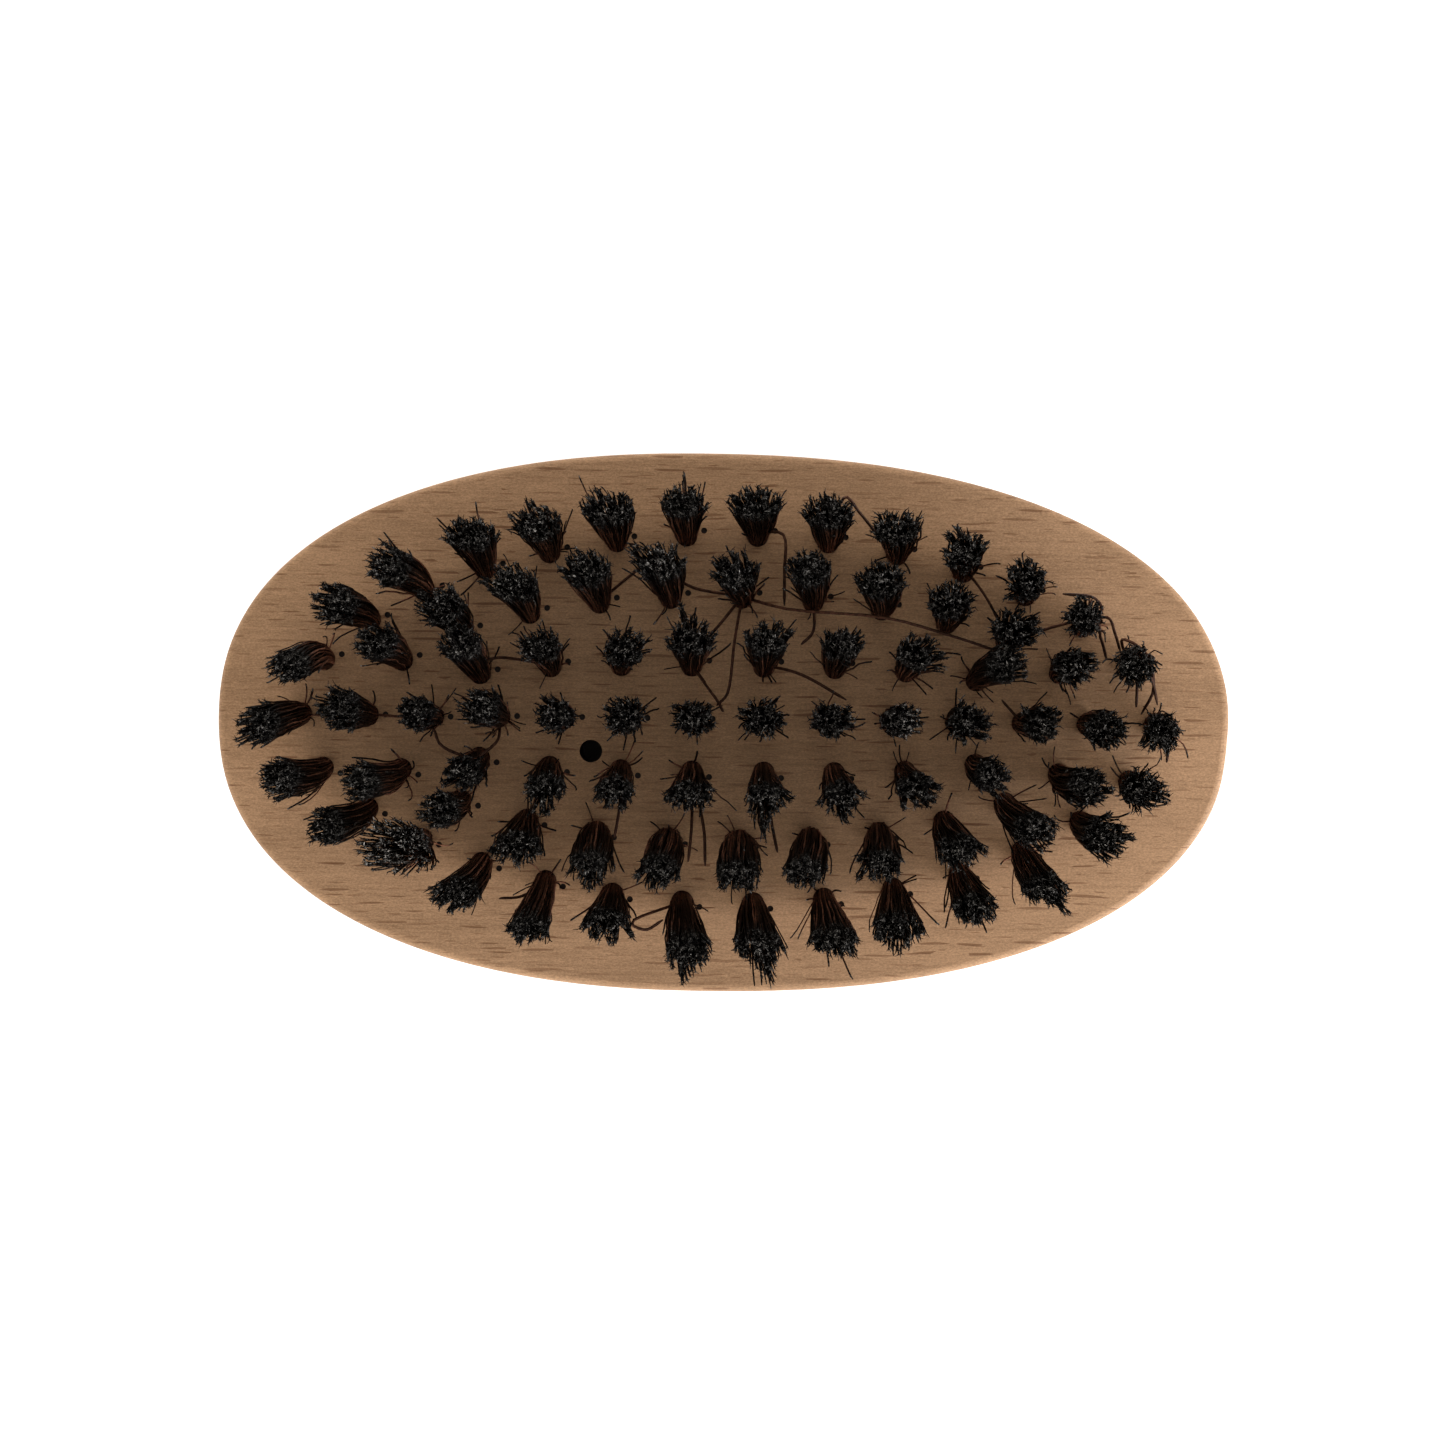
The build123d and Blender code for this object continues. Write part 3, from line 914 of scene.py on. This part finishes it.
def add_studio():
    """The floor, one broad soft light low on the +X, -Y side, and a pale sky."""
    mesh = bpy.data.meshes.new("floor")
    corners = [(-1, -1), (1, -1), (1, 1), (-1, 1)]
    points = [(x * FLOOR_REACH, y * FLOOR_REACH, -FLOOR_GAP) for x, y in corners]
    mesh.from_pydata(points, [], [(0, 1, 2, 3)])
    mesh.materials.append(floor_material())
    floor = bpy.data.objects.new("floor", mesh)
    bpy.context.scene.collection.objects.link(floor)

    add_area_light(
        name="key",
        place=(0.40, -0.22, 0.16),
        target=(0.0, 0.0, 0.02),
        size=0.30,
        watts=1.2,
        colour=(0.88, 0.97, 1.12),
    )

    # The sky is dark overhead and bright low down, most of all beyond the key light.
    world = bpy.data.worlds.new("studio")
    world.use_nodes = True
    tree = world.node_tree
    ahead = add_node(tree, "ShaderNodeTexCoord").outputs["Generated"]
    height = add_node(tree, "ShaderNodeSeparateXYZ", {"Vector": ahead}).outputs["Z"]
    towards_key = vector_calculate(tree, "DOT_PRODUCT", ahead, (0.77, -0.64, 0.0))
    by_height = rescale(tree, height, *SKY_HEIGHTS, SKY_LOW, SKY_OVERHEAD)
    by_side = calculate(tree, "MULTIPLY_ADD", towards_key, SKY_SWING, 1.0)
    strength = calculate(tree, "MULTIPLY", by_height, by_side)
    background = tree.nodes["Background"]
    background.inputs["Color"].default_value = (1.0, 0.98, 0.92, 1.0)
    tree.links.new(strength, background.inputs["Strength"])
    bpy.context.scene.world = world
    bpy.context.scene.view_settings.view_transform = "Standard"


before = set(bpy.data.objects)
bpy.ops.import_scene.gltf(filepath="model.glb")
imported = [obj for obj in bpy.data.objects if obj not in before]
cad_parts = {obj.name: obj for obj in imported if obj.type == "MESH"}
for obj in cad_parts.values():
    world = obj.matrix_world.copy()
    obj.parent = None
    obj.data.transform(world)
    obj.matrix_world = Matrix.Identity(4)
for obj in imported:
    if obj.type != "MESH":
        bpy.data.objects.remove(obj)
cad_box = [corner.copy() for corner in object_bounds()]
face_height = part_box("block")[1].z

add_camera(face_height)
add_studio()
dress_frame(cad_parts)
make_tufts(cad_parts, face_height, bristle_material())
